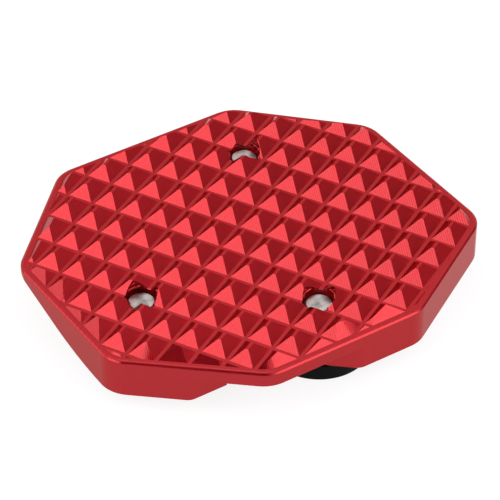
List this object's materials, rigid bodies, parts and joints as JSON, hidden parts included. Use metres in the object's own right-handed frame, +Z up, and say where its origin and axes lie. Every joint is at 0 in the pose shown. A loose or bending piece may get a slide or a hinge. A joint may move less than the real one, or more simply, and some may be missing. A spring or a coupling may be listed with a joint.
{
  "type": "kickstand foot enlarger",
  "caption": "Octagonal side-stand foot pad with a pyramid grip face, a foot pocket in the hidden side and a clamp plate held by countersunk screws.",
  "frame": {"origin": "on the surface the part lies on, under the middle of the plate, with the clamp plate down", "axes": "+X along the plate's length, +Y along its width, away from the relieved front corner, +Z up out of the grip face"},
  "size_m": [0.0808, 0.072, 0.0129],
  "materials": {
    "red_anodised": "milled and red anodised, semi-gloss",
    "black_anodised": "black anodised, satin",
    "steel": "bright zinc, turned"
  },
  "bodies": {
    "root": {"base_plate": "red_anodised", "clamp_plate": "black_anodised", "screw_rear": "steel", "screw_left": "steel", "screw_front": "steel"}
  },
  "joints": []
}
